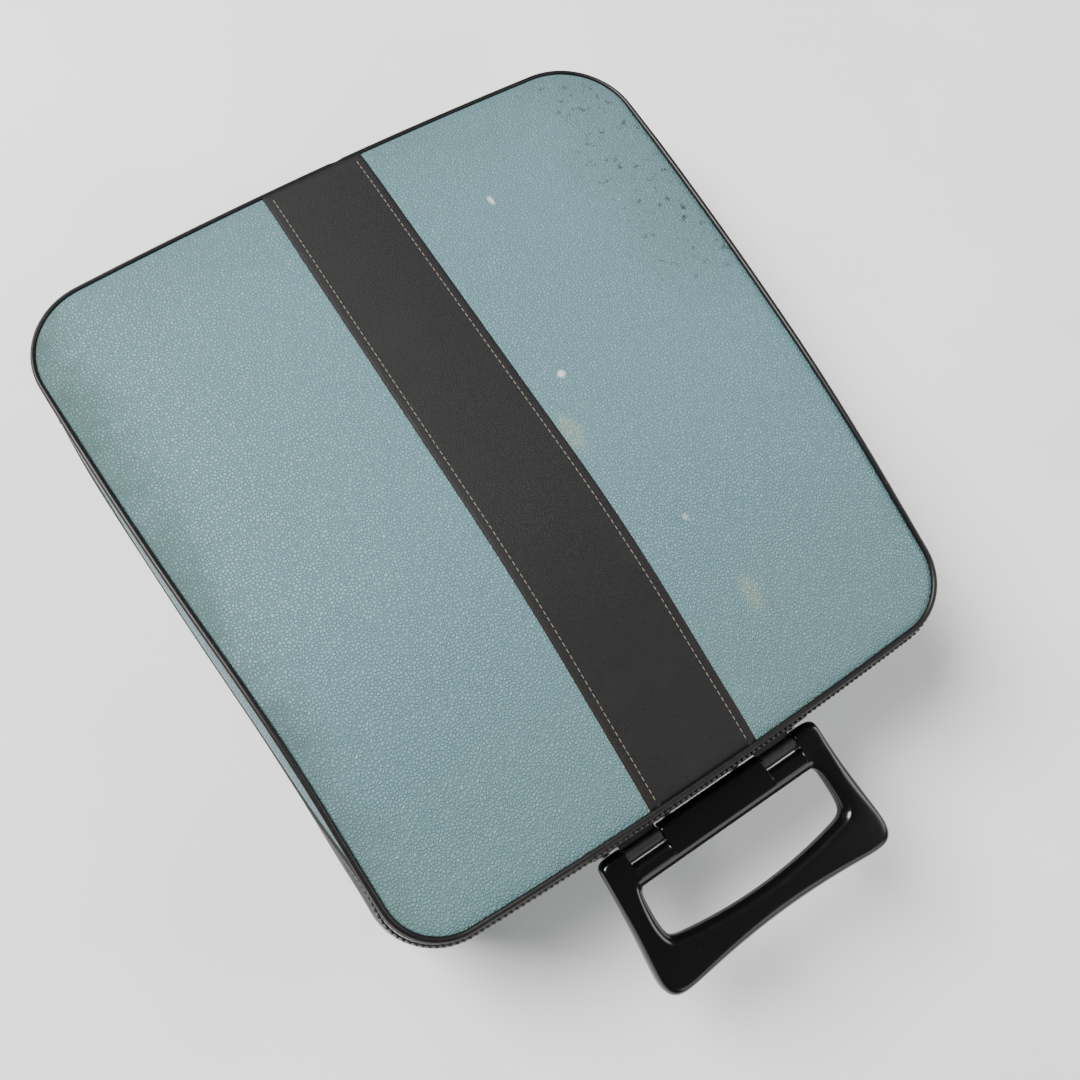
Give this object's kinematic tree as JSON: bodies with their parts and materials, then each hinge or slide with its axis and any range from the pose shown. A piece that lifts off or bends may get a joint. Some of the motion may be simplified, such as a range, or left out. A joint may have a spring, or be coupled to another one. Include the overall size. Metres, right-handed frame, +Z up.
{
  "type": "portable typewriter in zip case",
  "caption": "Portable typewriter shut in a soft-covered zip case with a hinged lid and a swinging carry handle.",
  "frame": {"origin": "centre of the tray's underside, on the surface the case lies on", "axes": "+Z up out of the lid, +Y towards the carrying handle, X across the case"},
  "size_m": [0.3725, 0.4669, 0.1048],
  "materials": {
    "teal_leathercloth": "pebble-grained leathercloth, satin",
    "dark_leathercloth": "pebble-grained leathercloth, satin",
    "piping": "smooth vinyl welt",
    "lining_cloth": "flocked cloth",
    "zip_tape": "woven tape",
    "zip_plastic": "moulded teeth",
    "zip_metal": "bright plated",
    "handle_plastic": "gloss, worn satin on the grip",
    "bracket_steel": "black enamel, worn",
    "steel": "plain",
    "enamel": "baked enamel, semi-gloss",
    "black_enamel": "satin",
    "key_plastic": "moulded, semi-gloss",
    "rubber": "dull",
    "ribbon_cloth": "inked cotton",
    "felt": "felt",
    "bright_steel": "bright plated"
  },
  "bodies": {
    "case_base": {"base_shell": "teal_leathercloth", "base_lining": "lining_cloth", "base_piping": "piping", "zip_tape_base": "zip_tape", "zip_teeth_base": "zip_plastic", "zip_stops": "zip_plastic", "lid_hinge_strip": "dark_leathercloth", "handle_bracket": "bracket_steel", "bracket_rivets": "bright_steel", "machine_feet": "rubber", "machine_pan": "black_enamel", "body_casing": "enamel", "ribbon_cover": "enamel", "spool_posts": "steel", "ribbon": "ribbon_cloth", "type_segment": "steel", "type_rest": "felt", "typebars": "steel", "carriage_rail": "steel", "mainspring_drum": "steel", "margin_bell": "bright_steel", "case_clips": "steel"},
    "lid": {"lid_shell": "teal_leathercloth", "lid_lining": "lining_cloth", "lid_piping": "piping", "lid_band": "dark_leathercloth", "zip_tape_lid": "zip_tape", "zip_teeth_lid": "zip_plastic"},
    "zip_slider": {"zip_slider": "zip_metal"},
    "zip_pull": {"zip_pull": "zip_metal"},
    "handle": {"handle": "handle_plastic", "handle_pins": "bright_steel"},
    "spool_left": {"spool_left": "black_enamel", "ribbon_pack_left": "ribbon_cloth"},
    "spool_right": {"spool_right": "black_enamel", "ribbon_pack_right": "ribbon_cloth"},
    "ribbon_guide": {"ribbon_guide": "bright_steel"},
    "shift_keys": {"shift_keys": "key_plastic"},
    "shift_lock": {"shift_lock": "key_plastic"},
    "space_bar": {"space_bar": "key_plastic"},
    "key_row_bottom": {"key_row_bottom": "key_plastic"},
    "key_row_home": {"key_row_home": "key_plastic"},
    "key_row_top": {"key_row_top": "key_plastic"},
    "key_row_number": {"key_row_number": "key_plastic"},
    "carriage": {"carriage_frame": "black_enamel", "paper_table": "enamel", "paper_bail": "bright_steel", "bail_rollers": "rubber", "lever_post": "steel", "margin_rail": "steel"},
    "platen": {"platen": "rubber", "platen_shaft": "steel", "platen_knobs": "key_plastic", "line_ratchet": "steel"},
    "return_lever": {"return_lever": "bright_steel"},
    "margin_stop_left": {"margin_stop_left": "bright_steel"},
    "margin_stop_right": {"margin_stop_right": "bright_steel"}
  },
  "joints": [
    {"name": "lid_hinge", "type": "hinge", "parent": "case_base", "child": "lid", "pos_m": [0, -0.191, 0.008], "axis": [1, 0, 0], "range_deg": [0, 90]},
    {"name": "handle_swing", "type": "hinge", "parent": "case_base", "child": "handle", "pos_m": [0, 0.2002, 0.08], "axis": [1, 0, 0], "range_deg": [-75, 85]},
    {"name": "zip_slide", "type": "slide", "parent": "case_base", "child": "zip_slider", "axis": [-0.024, 0.9713, 0.2366], "range_m": [0, 0.11]},
    {"name": "zip_pull_swing", "type": "hinge", "parent": "zip_slider", "child": "zip_pull", "pos_m": [-0.18659, -0.1555, 0.01802], "axis": [0, -0.2367, 0.9716], "range_deg": [-150, 0]},
    {"name": "spool_left_turn", "type": "hinge", "parent": "case_base", "child": "spool_left", "pos_m": [-0.088, -0.022, 0.06], "axis": [0, 0, 1], "continuous": true},
    {"name": "spool_right_turn", "type": "hinge", "parent": "case_base", "child": "spool_right", "pos_m": [0.088, -0.022, 0.06], "axis": [0, 0, 1], "continuous": true},
    {"name": "ribbon_guide_lift", "type": "slide", "parent": "case_base", "child": "ribbon_guide", "axis": [0, 0, 1], "range_m": [0, 0.005], "stiffness_N_per_m": 30, "springref_m": -0.01},
    {"name": "shift_keys_press", "type": "slide", "parent": "case_base", "child": "shift_keys", "axis": [0, 0, -1], "range_m": [0, 0.006], "stiffness_N_per_m": 120, "springref_m": -0.02},
    {"name": "shift_lock_press", "type": "slide", "parent": "case_base", "child": "shift_lock", "axis": [0, 0, -1], "range_m": [0, 0.006], "stiffness_N_per_m": 60, "springref_m": -0.02},
    {"name": "space_bar_press", "type": "slide", "parent": "case_base", "child": "space_bar", "axis": [0, 0, -1], "range_m": [0, 0.006], "stiffness_N_per_m": 120, "springref_m": -0.02},
    {"name": "key_row_bottom_press", "type": "slide", "parent": "case_base", "child": "key_row_bottom", "axis": [0, 0, -1], "range_m": [0, 0.008], "stiffness_N_per_m": 150, "springref_m": -0.02},
    {"name": "key_row_home_press", "type": "slide", "parent": "case_base", "child": "key_row_home", "axis": [0, 0, -1], "range_m": [0, 0.008], "stiffness_N_per_m": 150, "springref_m": -0.02},
    {"name": "key_row_top_press", "type": "slide", "parent": "case_base", "child": "key_row_top", "axis": [0, 0, -1], "range_m": [0, 0.008], "stiffness_N_per_m": 150, "springref_m": -0.02},
    {"name": "key_row_number_press", "type": "slide", "parent": "case_base", "child": "key_row_number", "axis": [0, 0, -1], "range_m": [0, 0.008], "stiffness_N_per_m": 150, "springref_m": -0.02},
    {"name": "carriage_slide", "type": "slide", "parent": "case_base", "child": "carriage", "axis": [1, 0, 0], "range_m": [-0.006, 0.006]},
    {"name": "platen_turn", "type": "hinge", "parent": "carriage", "child": "platen", "pos_m": [0, 0.08, 0.074], "axis": [1, 0, 0], "continuous": true},
    {"name": "return_lever_swing", "type": "hinge", "parent": "carriage", "child": "return_lever", "pos_m": [-0.133, 0.066, 0.083], "axis": [0, 0, -1], "range_deg": [0, 20], "stiffness_Nm_per_rad": 0.2, "springref_deg": -11.46},
    {"name": "margin_stop_left_slide", "type": "slide", "parent": "carriage", "child": "margin_stop_left", "axis": [1, 0, 0], "range_m": [0, 0.06]},
    {"name": "margin_stop_right_slide", "type": "slide", "parent": "carriage", "child": "margin_stop_right", "axis": [-1, 0, 0], "range_m": [0, 0.06]}
  ],
  "couplings": [
    {"joint": "spool_right_turn", "follows": "spool_left_turn", "ratio": 1}
  ]
}
